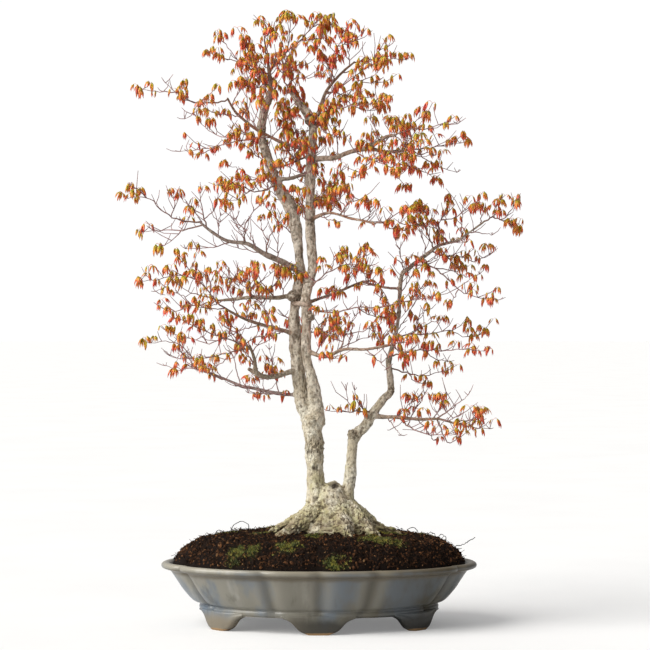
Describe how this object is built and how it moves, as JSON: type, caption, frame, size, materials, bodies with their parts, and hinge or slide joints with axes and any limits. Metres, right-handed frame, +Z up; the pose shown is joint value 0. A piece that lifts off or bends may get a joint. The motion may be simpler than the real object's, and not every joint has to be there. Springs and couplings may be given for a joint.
{
  "type": "potted bonsai tree",
  "caption": "Bonsai maple with gnarled pale trunks and small, just unfolding, lobed red-orange leaves, rooted in a mound of dark soil in a lobed oval glazed pot on cloud feet.",
  "frame": {"origin": "on the ground that the pot's feet stand on, under the middle of the whole plant", "axes": "+Z up along the trunks, +X to the viewer's right along the pot's length, -Y towards the viewer"},
  "size_m": [0.6226, 0.3063, 0.9303],
  "materials": {
    "glaze": "satin",
    "soil": "matte",
    "net": "matte",
    "bark": "matte",
    "foliage_red": "satin",
    "foliage_gold": "satin"
  },
  "bodies": {
    "root": {"pot": "glaze", "soil": "soil", "drain_screen_left": "net", "drain_screen_right": "net", "tree": "bark", "spray_crown_tip": "foliage_gold", "spray_crown_leader": "foliage_red", "spray_crown_left": "foliage_red", "spray_crown_back": "foliage_gold", "spray_crown_middle": "foliage_red", "spray_far_left_high": "foliage_red", "spray_left_high_reach": "foliage_gold", "spray_left_shoulder": "foliage_red", "spray_left_shoulder_front": "foliage_red", "spray_far_left_upper": "foliage_gold", "spray_far_left_lower": "foliage_red", "spray_left_upper_lift": "foliage_red", "spray_left_inner_lift": "foliage_gold", "spray_left_middle_lift": "foliage_red", "spray_far_left_middle": "foliage_red", "spray_left_middle_trail": "foliage_gold", "spray_left_middle_back": "foliage_red", "spray_left_burl_lift": "foliage_red", "spray_left_sway_tip": "foliage_gold", "spray_left_hook_reach": "foliage_red", "spray_left_hook_low": "foliage_red", "spray_left_hook_lift": "foliage_gold", "spray_far_left_low": "foliage_red", "spray_left_low_trail": "foliage_red", "spray_top_right": "foliage_gold", "spray_top_right_lift": "foliage_red", "spray_right_high": "foliage_red", "spray_right_high_back": "foliage_gold", "spray_right_high_front": "foliage_red", "spray_far_right_high": "foliage_red", "spray_far_right_reach": "foliage_gold", "spray_right_shoulder": "foliage_red", "spray_right_shoulder_front": "foliage_red", "spray_right_middle_front": "foliage_gold", "spray_right_middle_lift": "foliage_red", "spray_right_inner": "foliage_red", "spray_right_front_reach": "foliage_gold", "spray_right_low_tip": "foliage_red", "spray_right_low_lift": "foliage_red", "spray_back_low": "foliage_gold", "spray_back_high": "foliage_red", "spray_low_inner": "foliage_red", "spray_low_far_tip": "foliage_gold", "spray_low_far_hang": "foliage_red", "spray_low_far_lift": "foliage_red", "spray_low_near_hang": "foliage_gold", "spray_low_step": "foliage_red", "spray_low_ledge": "foliage_red", "spray_right_trunk_fan": "foliage_gold", "spray_right_trunk_stub": "foliage_red", "spray_right_trunk_trail": "foliage_red", "spray_right_trunk_reach": "foliage_gold", "spray_right_trunk_tip": "foliage_red", "spray_right_trunk_lift": "foliage_red", "spray_right_trunk_inner": "foliage_gold"}
  },
  "joints": []
}
